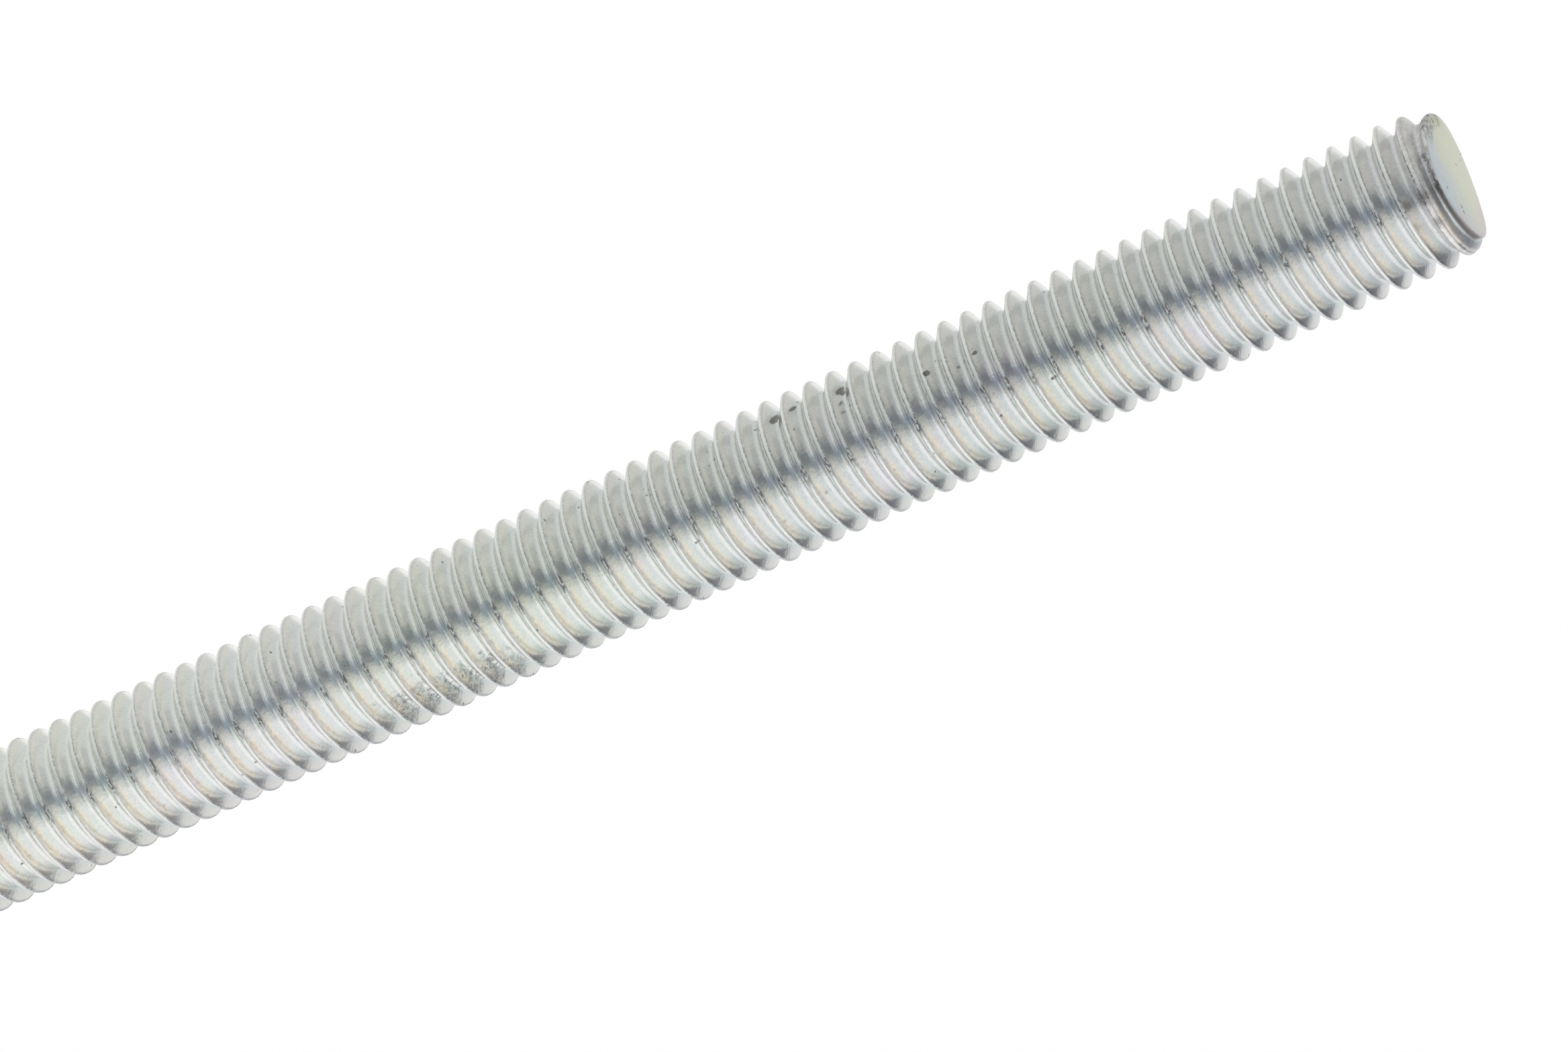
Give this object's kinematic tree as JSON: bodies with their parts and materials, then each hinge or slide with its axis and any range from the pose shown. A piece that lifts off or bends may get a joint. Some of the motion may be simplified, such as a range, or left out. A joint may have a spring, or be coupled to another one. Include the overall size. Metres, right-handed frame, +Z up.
{
  "type": "threaded rod",
  "caption": "Straight zinc-plated steel rod, fully threaded with a coarse metric right-hand thread and cut square at both ends.",
  "frame": {"origin": "middle of the rod, on its axis", "axes": "+X along the rod towards the cut end that shows its face, +Z up, +Y across"},
  "size_m": [0.2, 0.0078, 0.0078],
  "materials": {
    "zinc_plate": "bright zinc plating over rolled steel, clear to faintly yellow and iridescent, with dull rubbed crests and small dark pits"
  },
  "bodies": {
    "root": {"threaded_rod": "zinc_plate"}
  },
  "joints": []
}
